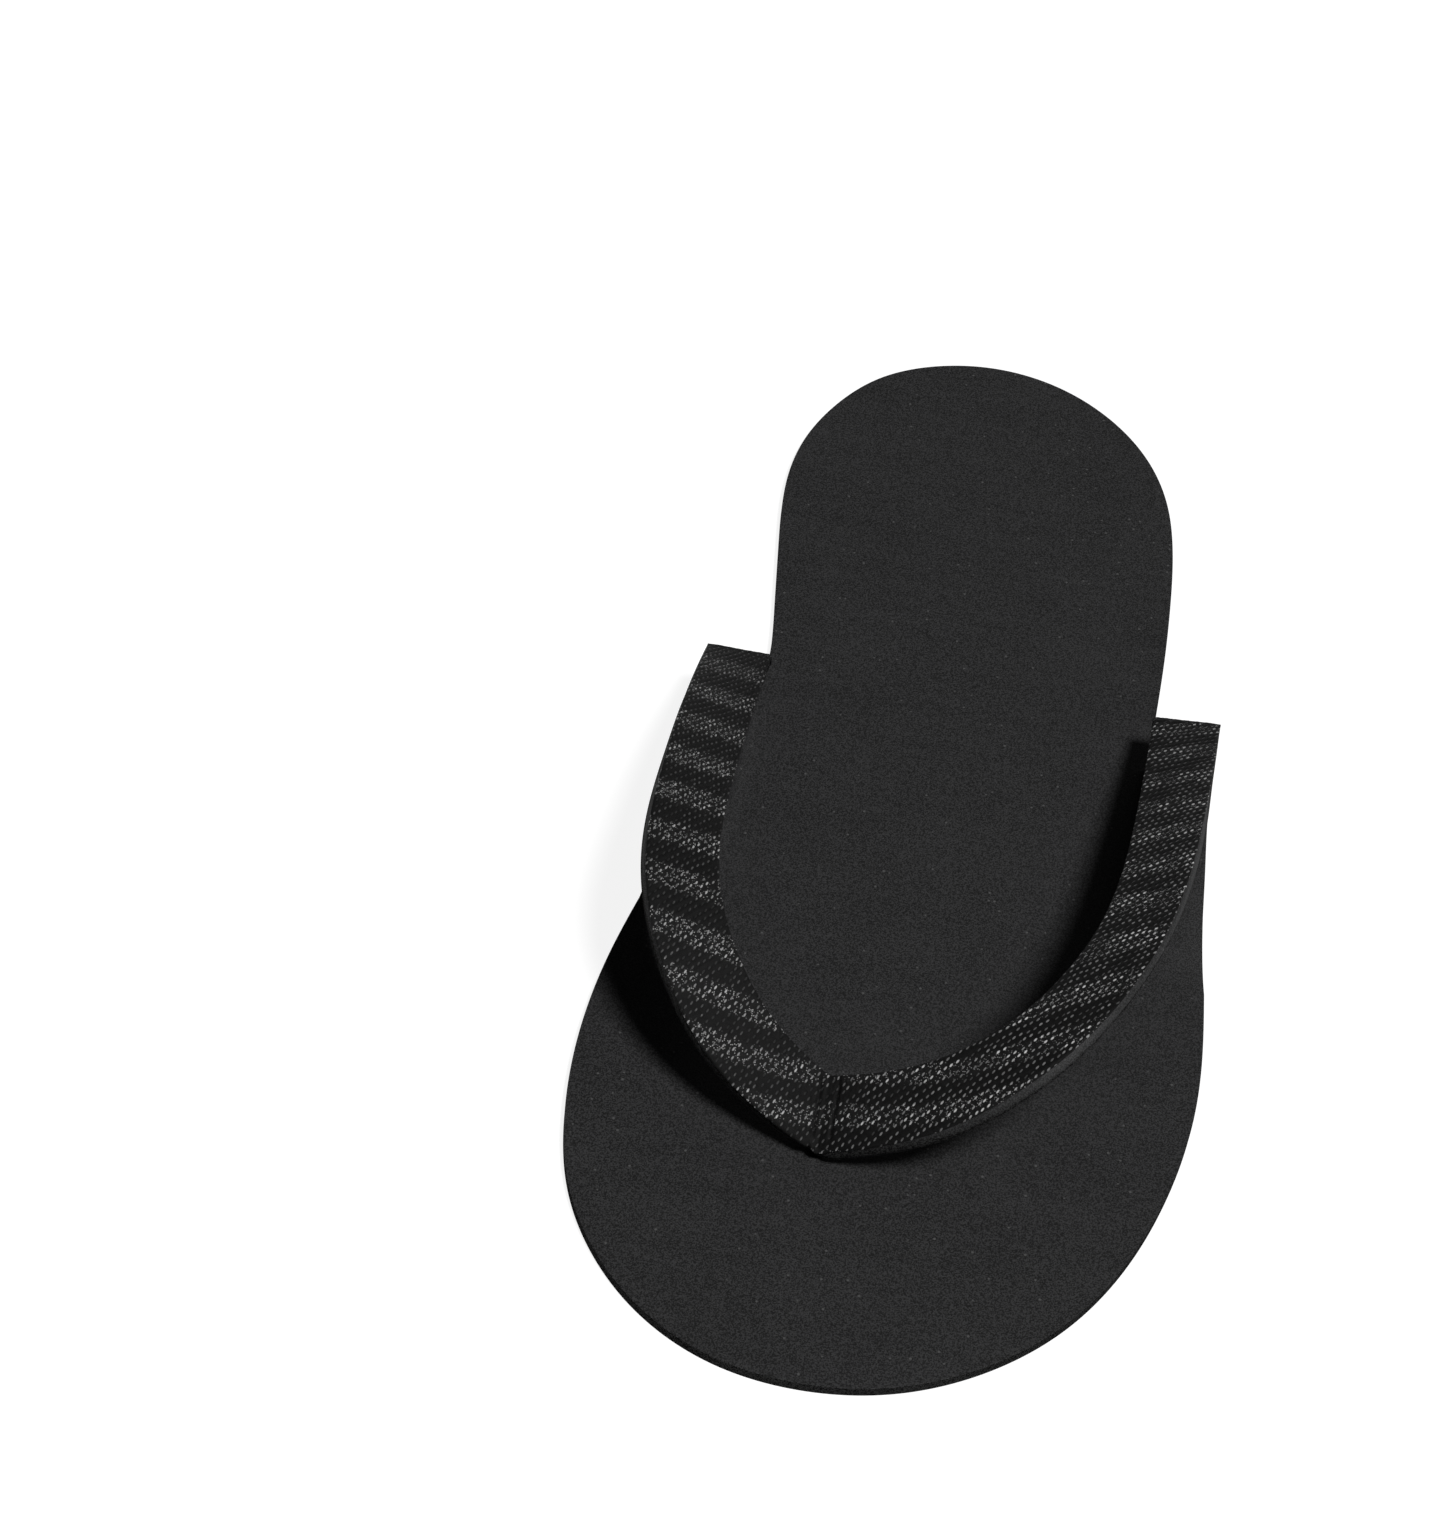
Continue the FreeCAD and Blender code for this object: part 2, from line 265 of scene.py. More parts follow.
def outline_curve(points, count):
    """Evenly spaced points on a smooth curve through the outline's points."""
    points = np.asarray(points, float)
    places = distances_along(points)
    fine = natural_spline(places, points, np.linspace(0, places[-1], CURVE_SAMPLES))
    lengths = distances_along(fine)
    even = np.linspace(0, lengths[-1], count)
    return np.stack([np.interp(even, lengths, fine[:, k]) for k in range(2)], axis=1)


def edge_curve(poles, parameters):
    """Points of a clamped cubic curve on seven control points."""
    parameters = np.minimum(parameters, STRAP_KNOTS[-1] - KNOT_MARGIN)
    weights = [
        ((STRAP_KNOTS[i] <= parameters) & (parameters < STRAP_KNOTS[i + 1])).astype(float)
        for i in range(len(STRAP_KNOTS) - 1)
    ]
    for degree in range(1, STRAP_DEGREE + 1):
        for i in range(len(STRAP_KNOTS) - 1 - degree):
            rise = STRAP_KNOTS[i + degree] - STRAP_KNOTS[i]
            fall = STRAP_KNOTS[i + degree + 1] - STRAP_KNOTS[i + 1]
            first = weights[i] * (parameters - STRAP_KNOTS[i]) / rise if rise else 0
            second = weights[i + 1] * (STRAP_KNOTS[i + degree + 1] - parameters) / fall if fall else 0
            weights[i] = first + second
    return sum(np.outer(weights[i], pole) for i, pole in enumerate(poles))


def grid_faces(rows, columns):
    """Quads between the points of a grid that is stored row by row."""
    index = np.arange(rows * columns).reshape(rows, columns)
    corners = [index[:-1, :-1], index[:-1, 1:], index[1:, 1:], index[1:, :-1]]
    return np.stack(corners, axis=-1).reshape(-1, 4).tolist()


def tube_faces(rings, count):
    """Quads between rings that all have the same number of points, and a face on each end."""
    faces = []
    for i in range(rings - 1):
        for k in range(count):
            following = (k + 1) % count
            faces.append([
                i * count + k, i * count + following,
                (i + 1) * count + following, (i + 1) * count + k,
            ])
    faces.append(list(range(count)))
    faces.append([(rings - 1) * count + k for k in range(count)][::-1])
    return faces


def closed_sheet(top, bottom, faces):
    """Closed mesh of two matching surfaces, joined along their free borders."""
    count = len(top)
    directed = set()
    for face in faces:
        directed.update(zip(face, face[1:] + face[:1]))
    under = [[i + count for i in reversed(face)] for face in faces]
    sides = [[b, a, a + count, b + count] for a, b in directed if (b, a) not in directed]
    return np.vstack([top, bottom]), faces + under + sorted(sides)


def make_mesh_object(name, points, faces, material, smooth=True):
    """Object in the scene from points in millimetres and faces."""
    mesh = bpy.data.meshes.new(name)
    mesh.from_pydata((np.asarray(points) * MM).tolist(), [], faces)
    mesh.materials.append(material)
    mesh.validate()
    mesh.polygons.foreach_set("use_smooth", [smooth] * len(mesh.polygons))
    obj = bpy.data.objects.new(name, mesh)
    bpy.context.scene.collection.objects.link(obj)
    return obj


def apply_modifiers(obj):
    """Turns the object's modifiers into its own mesh."""
    depsgraph = bpy.context.evaluated_depsgraph_get()
    depsgraph.update()
    mesh = bpy.data.meshes.new_from_object(obj.evaluated_get(depsgraph), depsgraph=depsgraph)
    obj.modifiers.clear()
    obj.data = mesh
    mesh.name = obj.name


def add_bevel(obj, width, segments):
    """Rounds the object's sharp edges."""
    bevel = obj.modifiers.new("edges", "BEVEL")
    bevel.width = width * MM
    bevel.segments = segments
    bevel.limit_method = "ANGLE"
    bevel.angle_limit = math.radians(BEVEL_ANGLE)
    bevel.harden_normals = True


# ---------------------------------------------------------------- sole

def ear_point(side, across, along):
    """Point of the ear's top face: across from the fold to the free edge, along from front to back."""
    shape = EARS[side]
    edge_y = EAR_FRONT_Y + (shape["tip_y"] - EAR_FRONT_Y) * along
    fold_y = EAR_FRONT_Y + (shape["notch_y"] - EAR_FRONT_Y) * along
    places = np.array([EAR_FRONT_Y, 0.0, shape["tip_y"]])
    edge_x = np.polyval(np.polyfit(places, shape["edge_x"], 2), edge_y)
    rise = EAR_RISE * smooth_step(1 - edge_y / EAR_FRONT_Y)
    rise += EAR_TIP_RISE * max(edge_y / shape["tip_y"], 0.0) ** EAR_TIP_POWER
    wall = (1 - EAR_SHELF_SLOPE) * smooth_step(across / EAR_WALL_SHARE) + EAR_SHELF_SLOPE * across
    ramp = across * across * (2 - across)
    upright = smooth_step(along * EAR_WALL_GROWTH)
    lift = wall * upright + ramp * (1 - upright)
    return (
        shape["fold_x"] + (edge_x - shape["fold_x"]) * across,
        fold_y + (edge_y - fold_y) * lift,
        SOLE_THICKNESS + rise * lift,
    )


def sole_rows():
    """Rows of the sheet's top face between the toe cap and the heel cap, as lists of points."""
    lateral, medial = EARS["lateral"], EARS["medial"]
    ear_rows = round((lateral["tip_y"] - EAR_FRONT_Y) / ROW_PITCH)
    rows = []
    for row in range(ear_rows + 1):
        along = row / ear_rows
        left = [ear_point("medial", k / EAR_COLUMNS, along) for k in range(EAR_COLUMNS, 0, -1)]
        right = [ear_point("lateral", k / EAR_COLUMNS, along) for k in range(1, EAR_COLUMNS + 1)]
        ends = [ear_point(side, 0.0, along) for side in ("medial", "lateral")]
        rows.append((left, centre_row(*ends), right))
    heel = outline_curve(HEEL_OUTLINE, HEEL_SAMPLES)
    first, last = heel[:HEEL_SIDE_SAMPLES], heel[-HEEL_SIDE_SAMPLES:][::-1]
    start = lateral["notch_y"] + NOTCH_STEP
    back_rows = round((HEEL_CENTRE_Y - start) / ROW_PITCH)
    for row in range(back_rows + 1):
        share = row / back_rows
        y_right = start + (HEEL_CENTRE_Y - start) * share
        y_left = y_right - (lateral["notch_y"] - medial["notch_y"]) * (1 - share)
        right_end = (np.interp(y_right, first[:, 1], first[:, 0]), y_right, SOLE_THICKNESS)
        left_end = (np.interp(y_left, last[:, 1], last[:, 0]), y_left, SOLE_THICKNESS)
        rows.append(([], centre_row(left_end, right_end), []))
    return rows


def centre_row(left, right):
    """Points from the inner to the outer side of the flat part of the sole, through its middle column."""
    left, right = np.asarray(left), np.asarray(right)
    middle = left + (right - left) * (CENTRE_X - left[0]) / (right[0] - left[0])
    half = np.linspace(0, 1, CENTRE_COLUMNS + 1)[:, None]
    first = left + (middle - left) * half
    second = middle + (right - middle) * half[1:]
    return [tuple(p) for p in first] + [tuple(p) for p in second]


def add_cap(points, faces, border, outline):
    """Fills a rounded end of the sole with rings between its border row and its outline."""
    middle = len(border) // 2
    hub = border[middle]
    rays = [border[middle::-1]]
    shares = []
    for ray in (border[middle::-1], border[middle:]):
        reach = np.array([np.linalg.norm(np.subtract(points[i], points[hub])) for i in ray])
        shares.append(reach / reach[-1])
    count = len(outline)
    for step in range(1, count - 1):
        turn = step / (count - 1)
        share = shares[0] * (1 - turn) + shares[1] * turn
        ray = [hub]
        for reach in share[1:]:
            x = points[hub][0] + (outline[step][0] - points[hub][0]) * reach
            y = points[hub][1] + (outline[step][1] - points[hub][1]) * reach
            points.append((x, y, SOLE_THICKNESS))
            ray.append(len(points) - 1)
        rays.append(ray)
    rays.append(border[middle:])
    for ray, following in zip(rays, rays[1:]):
        faces.append([hub, ray[1], following[1]])
        for k in range(1, len(ray) - 1):
            faces.append([ray[k], ray[k + 1], following[k + 1], following[k]])


def sole_surface():
    """Points and faces of the whole sheet's top face, ears included."""
    points, faces, index_rows = [], [], []
    for left, centre, right in sole_rows():
        row = []
        for point in left + centre + right:
            row.append(len(points))
            points.append(tuple(float(v) for v in point))
        index_rows.append(row)
    for row, following in zip(index_rows, index_rows[1:]):
        spare = (len(row) - len(following)) // 2
        near = row[spare:len(row) - spare]
        for k in range(len(near) - 1):
            faces.append([near[k], near[k + 1], following[k + 1], following[k]])
    add_cap(points, faces, index_rows[0], outline_curve(FOREFOOT_OUTLINE, TOE_CAP_POINTS))
    heel = outline_curve(HEEL_OUTLINE, HEEL_SAMPLES)
    cap = heel[heel[:, 1] >= HEEL_CENTRE_Y]
    lengths = distances_along(cap)
    even = np.linspace(0, lengths[-1], HEEL_CAP_POINTS)
    cap = np.stack([np.interp(even, lengths, cap[:, k]) for k in range(2)], axis=1)
    add_cap(points, faces, index_rows[-1][::-1], cap)
    return np.array(points), faces


def surface_normals(points, faces):
    """Upward unit normals of a surface's points."""
    normals = np.zeros_like(points)
    for face in faces:
        corner, second, last = points[face[0]], points[face[1]], points[face[-1]]
        normal = np.cross(second - corner, last - corner)
        if normal[2] < 0:
            normal = -normal
        for k in face:
            normals[k] += normal
    return unit(normals)


def block(name, low, high):
    """Plain box between two corners."""
    corners = [(x, y, z) for x in (low[0], high[0]) for y in (low[1], high[1]) for z in (low[2], high[2])]
    faces = [(0, 1, 3, 2), (4, 6, 7, 5), (0, 4, 5, 1), (2, 3, 7, 6), (0, 2, 6, 4), (1, 5, 7, 3)]
    mesh = bpy.data.meshes.new(name)
    mesh.from_pydata((np.array(corners) * MM).tolist(), [], faces)
    obj = bpy.data.objects.new(name, mesh)
    bpy.context.scene.collection.objects.link(obj)
    return obj


def cut(obj, cutter):
    """Takes the cutter's shape out of the object."""
    boolean = obj.modifiers.new("cut", "BOOLEAN")
    boolean.operation = "DIFFERENCE"
    boolean.solver = "EXACT"
    boolean.object = cutter
    apply_modifiers(obj)
    bpy.data.objects.remove(cutter)


def outward(obj):
    """Turns the mesh's faces outwards."""
    mesh = bmesh.new()
    mesh.from_mesh(obj.data)
    bmesh.ops.recalc_face_normals(mesh, faces=mesh.faces)
    mesh.to_mesh(obj.data)
    mesh.free()


def make_sole(material):
    """The whole foam sheet with its ears, its soft edges and the slit for the toe post."""
    top, faces = sole_surface()
    bottom = top - surface_normals(top, faces) * SOLE_THICKNESS
    bottom[:, 2] = np.maximum(bottom[:, 2], 0.0)
    points, all_faces = closed_sheet(top, bottom, faces)
    sole = make_mesh_object("sole_sheet", points, all_faces, material)
    outward(sole)
    add_bevel(sole, SOLE_EDGE_RADIUS, SOLE_EDGE_SEGMENTS)
    apply_modifiers(sole)
    half = POST_THICKNESS / 2 + SLIT_CLEARANCE
    cut(sole, block("slit", (POST_X - half, POST_FRONT_Y - SLIT_CLEARANCE, -CUT_MARGIN),
                    (POST_X + half, POST_REAR_Y + SLIT_CLEARANCE, SOLE_THICKNESS + CUT_MARGIN)))
    cut(sole, block("recess", (POST_X - FOOT_WIDTH / 2, POST_FRONT_Y - FOOT_MARGIN, -CUT_MARGIN),
                    (POST_X + FOOT_WIDTH / 2, POST_REAR_Y + FOOT_MARGIN, FOOT_THICKNESS)))
    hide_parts("sole_front", "sole_heel")
    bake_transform(sole)


# ---------------------------------------------------------------- strap

def unroll(inner, outer, turn):
    """Flat pattern of a ruled strip: places of its two edges when it is laid flat."""
    flat_inner = [np.zeros(2)]
    flat_outer = [np.array([0.0, -np.linalg.norm(outer[0] - inner[0])])]
    for i in range(1, len(inner)):
        near, far = flat_inner[-1], flat_outer[-1]
        following = corner_from(near, far, np.linalg.norm(inner[i] - inner[i - 1]),
                                np.linalg.norm(inner[i] - outer[i - 1]), turn)
        last = corner_from(far, following, np.linalg.norm(outer[i] - outer[i - 1]),
                           np.linalg.norm(outer[i] - inner[i]), -turn)
        flat_inner.append(following)
        flat_outer.append(last)
    return np.array(flat_inner), np.array(flat_outer)


def corner_from(first, second, from_first, from_second, turn):
    """Third corner of a triangle from two corners and its distances to them, on one side of them."""
    span = np.linalg.norm(second - first)
    along = (second - first) / span
    square = np.array([-along[1], along[0]])
    reach = (from_first ** 2 - from_second ** 2 + span ** 2) / (2 * span)
    rise = math.sqrt(max(from_first ** 2 - reach ** 2, 0.0))
    return first + along * reach + square * rise * turn


def arm(side, pitch):
    """Stations along one arm's top face, from the toe post to the ear: edges, normals and pattern."""
    poles = STRAP_EDGES[side]
    fine = np.linspace(0, STRAP_KNOTS[-1], CURVE_SAMPLES + 1)
    centre = (edge_curve(poles["inner"], fine) + edge_curve(poles["outer"], fine)) / 2
    lengths = distances_along(centre)
    count = round(lengths[-1] / pitch) + 1
    parameters = np.interp(np.linspace(0, lengths[-1], count), lengths, fine)
    inner = edge_curve(poles["inner"], parameters)
    outer = edge_curve(poles["outer"], parameters)
    along = np.gradient((inner + outer) / 2, axis=0)
    normals = unit(np.cross(outer - inner, along))
    normals *= np.sign(normals[:, 2:])
    apex = unit(np.cross(outer[0] - inner[0], (1.0, 0.0, 0.0)))
    apex *= np.sign(apex[2])
    weight = smooth_step(parameters / STRAP_KNOTS[-1] / APEX_BLEND)[:, None]
    normals = unit(apex * (1 - weight) + normals * weight)
    flat_inner, flat_outer = unroll(inner, outer, 1 if side == "lateral" else -1)
    stripes = []
    for edge, points in (("inner", inner), ("outer", outer)):
        travelled = distances_along(points)
        places = np.linspace(0, 1, len(STRIPE_NUMBERS[side][edge]))
        stripes.append(natural_spline(places, STRIPE_NUMBERS[side][edge], travelled / travelled[-1]))
    return {
        "inner": inner, "outer": outer, "normal": normals,
        "flat_inner": flat_inner, "flat_outer": flat_outer,
        "stripe_inner": stripes[0], "stripe_outer": stripes[1],
    }


def whole_strap(pitch):
    """Both arms as one run of stations, from the inner ear over the toe post to the outer ear."""
    medial, lateral = arm("medial", pitch), arm("lateral", pitch)
    run = {key: np.concatenate([medial[key][::-1], lateral[key][1:]]) for key in medial}
    from_apex = np.concatenate([
        -distances_along(medial["outer"])[::-1],
        distances_along(lateral["outer"])[1:],
    ])
    notch = NOTCH_DEPTH * np.exp(-((from_apex + NOTCH_PLACE) / NOTCH_WIDTH) ** 2)
    ledge = LEDGE_WIDTH * passed(from_apex, LEDGE_START) * (1 - passed(from_apex, LEDGE_END))
    ledge *= 1 - (1 - LEDGE_FAR_SHARE) * passed(from_apex, LEDGE_TAPER)
    width = np.linalg.norm(run["outer"] - run["inner"], axis=1)
    run["fabric_reach"] = 1 - (notch + ledge * LEDGE_INSET_SHARE) / width
    rim = RIM_WIDTH * passed(-from_apex, RIM_START) * (1 - passed(-from_apex, RIM_END))
    run["foam_reach"] = 1 - (notch - rim - ledge * (1 - LEDGE_INSET_SHARE)) / width
    run["width"] = width
    return run


def across(run, inner, outer, share, foam_weight=0.0):
    """Values between the strap's edges: share 0 is at the inner edge, 1 at the fabric's or foam's outer."""
    fabric, foam = run["fabric_reach"][:, None], run["foam_reach"][:, None]
    place = np.asarray(share)[None, :] * (fabric + (foam - fabric) * np.asarray(foam_weight))
    first, second = run[inner], run[outer]
    if first.ndim == 2:
        place = place[..., None]
        first, second = first[:, None, :], second[:, None, :]
    else:
        first, second = first[:, None], second[:, None]
    return first + (second - first) * place


def bond_distance(flat, shift):
    """Squared distance from the nearest bond point of one sublattice, 1 at the oval's border."""
    pitch = np.array([BOND_PITCH_X, BOND_PITCH_Y])
    local = (np.mod(flat / pitch + shift, 1.0) - 0.5) * pitch
    cosine, sine = math.cos(BOND_SLANT), math.sin(BOND_SLANT)
    along = local[..., 0] * cosine + local[..., 1] * sine
    aside = -local[..., 0] * sine + local[..., 1] * cosine
    return (2 * along / BOND_LENGTH) ** 2 + (2 * aside / BOND_WIDTH) ** 2


def facing_relief(run, flat, share):
    """Height of the embossed face over its plain surface."""
    nearest = np.minimum(*[bond_distance(flat, shift) for shift in SUBLATTICES])
    pressed = np.exp(-BOND_SOFTNESS * nearest)
    relief = PILLOW_HEIGHT * (PILLOW_MIDDLE - pressed)
    width = run["width"][:, None]
    from_edge = np.minimum(share, 1 - share)[None, :] * width
    fall = 1 - smooth_step(from_edge / FACING_EDGE_WIDTH)
    relief = relief * (1 - fall) - FACING_EDGE_DROP * fall
    inward = -flat[..., 1]
    window = smooth_step((inward - CRIMP_START) / CRIMP_FADE)
    window = window * smooth_step((CRIMP_END - inward) / CRIMP_FADE)
    for place in CRIMP_X:
        relief = relief - CRIMP_DEPTH * window * np.exp(-((flat[..., 0] - place) / CRIMP_WIDTH) ** 2)
    return relief


def facing_faces(rows, count):
    """Faces of the fabric: its top grid, its sides, and its underside with two points in each row."""
    faces = grid_faces(rows, count)
    base = rows * count
    for i in range(rows - 1):
        a, b = i * count, (i + 1) * count
        low, following = base + 2 * i, base + 2 * i + 2
        faces.append([b, a, low, following])
        faces.append([a + count - 1, b + count - 1, following + 1, low + 1])
        faces.append([low, low + 1, following + 1, following])
    for i in (0, rows - 1):
        faces.append([i * count + k for k in range(count)] + [base + 2 * i + 1, base + 2 * i])
    return faces


def make_facing(material):
    """The embossed fabric on the strap's top."""
    run = whole_strap(FACING_PITCH)
    columns = round(float(np.mean(run["width"])) / FACING_PITCH)
    share = np.linspace(0, 1, columns + 1)
    flat = across(run, "flat_inner", "flat_outer", share)
    top = across(run, "inner", "outer", share)
    top = top + run["normal"][:, None, :] * facing_relief(run, flat, share)[..., None]
    edges = np.array([0.0, 1.0])
    bottom = across(run, "inner", "outer", edges) - run["normal"][:, None, :] * FACING_THICKNESS
    points = np.vstack([top.reshape(-1, 3), bottom.reshape(-1, 3)])
    facing = make_mesh_object("strap_fabric", points, facing_faces(*top.shape[:2]), material)
    outward(facing)
    # The pattern holds each point's place in the flat cut and its stripe number, for the material
    stripes = across(run, "stripe_inner", "stripe_outer", share)
    low_stripes = across(run, "stripe_inner", "stripe_outer", edges)
    low_flat = across(run, "flat_inner", "flat_outer", edges)
    pattern = np.zeros((len(points), 3), np.float32)
    pattern[:, :2] = np.vstack([flat.reshape(-1, 2), low_flat.reshape(-1, 2)])
    pattern[:, 2] = np.concatenate([stripes.ravel(), low_stripes.ravel()])
    attribute = facing.data.attributes.new("pattern", "FLOAT_VECTOR", "POINT")
    attribute.data.foreach_set("vector", pattern.ravel())
    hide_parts("strap_facing")
    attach(facing, "forefoot")


def make_foam_strip(material):
    """The strap's foam layer, with its die-cut sides."""
    run = whole_strap(FOAM_PITCH)
    share = np.array([s for s, _ in FOAM_SECTION])
    depth = np.array([d for _, d in FOAM_SECTION])
    foam_weight = smooth_step((depth - FACING_THICKNESS) / LEDGE_DEPTH)
    points = across(run, "inner", "outer", share, foam_weight)
    points = points - run["normal"][:, None, :] * depth[None, :, None]
    faces = tube_faces(*points.shape[:2])
    strip = make_mesh_object("strap_foam_strip", points.reshape(-1, 3), faces, material)
    outward(strip)
    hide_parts("strap_foam")
    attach(strip, "forefoot")


def make_nose(side, material):
    """Rounded edge where the end of the strap and its ear are melted together."""
    poles = STRAP_EDGES[side]
    inner, outer = np.array(poles["inner"][-1]), np.array(poles["outer"][-1])
    bead_low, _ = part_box("weld_bead_" + side)
    ear_low = bead_low.z / MM + BEAD_OUTER_RISE
    points = []
    for station in range(NOSE_STATIONS + 1):
        share = station / NOSE_STATIONS
        place = inner + (outer - inner) * share
        joined = smooth_step((share - NOSE_JOIN_START) / NOSE_JOIN_LENGTH)
        strap_low = place[2] - STRAP_THICKNESS - NOSE_LIP
        bottom = strap_low * (1 - joined) + ear_low * joined
        top = place[2] + NOSE_LIP
        rounding = smooth_step(share / NOSE_INNER_ROUNDING)
        rounding *= smooth_step((1 - share) / NOSE_OUTER_ROUNDING)
        ripple = sum(size * math.sin(share * rate + phase) for size, rate, phase in NOSE_RIPPLES)
        bulge = (NOSE_BULGE + ripple) * (NOSE_END_SHARE + (1 - NOSE_END_SHARE) * rounding)
        half = (top - bottom) / 2
        middle = (top + bottom) / 2
        for segment in range(NOSE_SEGMENTS + 1):
            angle = -math.pi / 2 + math.pi * segment / NOSE_SEGMENTS
            reach = bulge * abs(math.cos(angle)) ** NOSE_SQUARENESS
            rise = half * math.copysign(abs(math.sin(angle)) ** NOSE_SQUARENESS, math.sin(angle))
            points.append((place[0], place[1] + reach, middle + rise))
        for rise in (half * NOSE_BACK_SHARE, -half * NOSE_BACK_SHARE):
            points.append((place[0], place[1] - NOSE_BITE, middle + rise))
    faces = tube_faces(NOSE_STATIONS + 1, NOSE_SEGMENTS + 3)
    nose = make_mesh_object("weld_nose_" + side, np.array(points), faces, material)
    outward(nose)
    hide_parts("weld_bead_" + side)
    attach(nose, "forefoot")


def make_toe_post(material):
    """Upright strip between the toes, flared where it meets the strap, on its flat foot."""
    inner = np.array(STRAP_EDGES["medial"]["inner"][0])
    outer = np.array(STRAP_EDGES["medial"]["outer"][0])
    slope = (outer[2] - inner[2]) / (outer[1] - inner[1])
    ruling = unit(outer - inner)
    normal = unit(np.cross(ruling, (1.0, 0.0, 0.0)))
    normal *= np.sign(normal[2])
    under = inner - normal * (STRAP_THICKNESS - POST_SINK)
    middle_y = (POST_FRONT_Y + POST_REAR_Y) / 2
    half_y = (POST_REAR_Y - POST_FRONT_Y) / 2
    bottom = FOOT_THICKNESS * POST_FOOT_SHARE
    points = []
    for level in range(POST_LEVELS + 1):
        share = level / POST_LEVELS
        for corner in range(POST_CORNERS):
            angle = 2 * math.pi * corner / POST_CORNERS
            cosine, sine = math.cos(angle), math.sin(angle)
            x = math.copysign(abs(cosine) ** POST_CORNER_POWER, cosine) * POST_THICKNESS / 2
            y = math.copysign(abs(sine) ** POST_CORNER_POWER, sine) * half_y
            top = under[2] + slope * (middle_y + y - under[1])
            z = bottom + (top - bottom) * share
            flare = POST_FLARE * math.exp(-((top - z) / POST_FLARE_HEIGHT) ** 2)
            x += math.copysign(flare, x)
            points.append((POST_X + x, middle_y + y, z))
    faces = tube_faces(POST_LEVELS + 1, POST_CORNERS)
    post = make_mesh_object("toe_post_blade", np.array(points), faces, material)
    outward(post)
    foot_half = FOOT_WIDTH / 2 - FOOT_CLEARANCE
    margin = FOOT_MARGIN - FOOT_CLEARANCE
    foot = block("toe_post_foot", (POST_X - foot_half, POST_FRONT_Y - margin, FOOT_LIFT),
                 (POST_X + foot_half, POST_REAR_Y + margin, FOOT_THICKNESS - FOOT_TOP_GAP))
    outward(foot)
    foot.data.materials.append(material)
    foot.data.polygons.foreach_set("use_smooth", [True] * len(foot.data.polygons))
    add_bevel(foot, FOOT_EDGE_RADIUS, FOOT_EDGE_SEGMENTS)
    apply_modifiers(foot)
    for piece in (post, foot):
        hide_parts("toe_post")
        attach(piece, "forefoot")


# ---------------------------------------------------------------- materials

# Foam: its grain, clouds, bands and pale specks, whose scales are per metre
GRAIN_FINE = 4300.0
GRAIN_COARSE = 2000.0
GRAIN_FINE_SHARE = 0.75
GRAIN_RANGE = (0.41, 0.6)
CLOUD_SCALE = 60.0
BAND_STRETCH = (18.0, 300.0, 18.0)
CLOUD_AMOUNT = 0.3
BAND_AMOUNT = 0.3
SPECK_SCALE = 900.0
SPECK_CHANCE = 0.95
SPECK_RADIUS = (0.28, 0.14)
SPECK_GAIN = 2.2
# How level a face is: cut edges are below this range and flat faces above it
LEVEL_RANGE = (0.25, 0.7)
EDGE_ROUGHNESS = 0.25
GRAIN_ROUGHNESS = 0.16
FOAM_TINT = 1.03
GRAIN_FINE_HEIGHT = 0.5

# Fabric: its places are in millimetres of the flat cut and its scales are per millimetre
FRAY_SCALE = 1.6
FRAY_AMOUNT = 1.3
STRIPE_RANGE = (-0.3, 0.3)
FIBRE_TURNS = (0.35, 1.25, 2.3)
FIBRE_STRETCH = (1.4, 9.0, 1.0)
FIBRE_RANGE = (0.5, 0.72)
OUTER_ARM_RANGE = (-2.0, 5.0)
BOND_EDGE = (1.2, 0.5)
# Highlights painted on the bond points: how bright the faintest one is
BOND_LEAST_SHINE = 0.2
# Stray glints painted in the light stripes, weaker on the outer arm
GLINT_SCALE = 3.2
GLINT_RADIUS = (0.4, 0.18)
GLINT_CHANCE = (0.7, 1.0)
OUTER_ARM_GLINT_LOSS = 0.5
# The painted highlights fade towards the ear ends, where the strap turns away from the light
FAR_END_RANGE = (55.0, 105.0)
FAR_END_HIGHLIGHT_LOSS = 0.4
# Painted shade in the crimp grooves at the strap's point, and a slighter darkening of the pressed cloth
# between them
CRIMP_EDGE = (1.3, 0.5)
PRESSED_MARGIN = 0.9
PRESSED_DARKENING = 0.2
CRIMP_END_FADE = 1.5
DARK_CLOTH = (0.0025, 0.0065)
LIGHT_CLOTH = (0.0035, 0.012)
# Greys of the highlights painted on the bond points, in the dark and the light stripes, from the inner arm
# to the outer
DARK_STRIPE_BOND_HIGHLIGHT = (0.06, 0.21)
LIGHT_STRIPE_BOND_HIGHLIGHT = (0.5, 0.68)
# Grey of the painted shade in the crimps
CRIMP_SHADE_GREY = 0.002
FABRIC_ROUGHNESS = 0.62
BOND_ROUGHNESS_LOSS = 0.26
FABRIC_SPECULAR = 0.18
SPARK_SPECULAR = 0.4
FABRIC_BUMP = 0.00007
FIBRE_HEIGHT = 0.6
BOND_DEPTH = 0.8

# Floor
FLOOR_GREYS = (0.24, 0.26)
FLOOR_CLOUD_SCALE = 3.0
FLOOR_GRAIN_SCALE = 400.0
FLOOR_BUMP = 0.00001
FLOOR_ROUGHNESS = 0.9
FLOOR_SPECULAR = 0.1
FLOOR_GLOW = 0.88


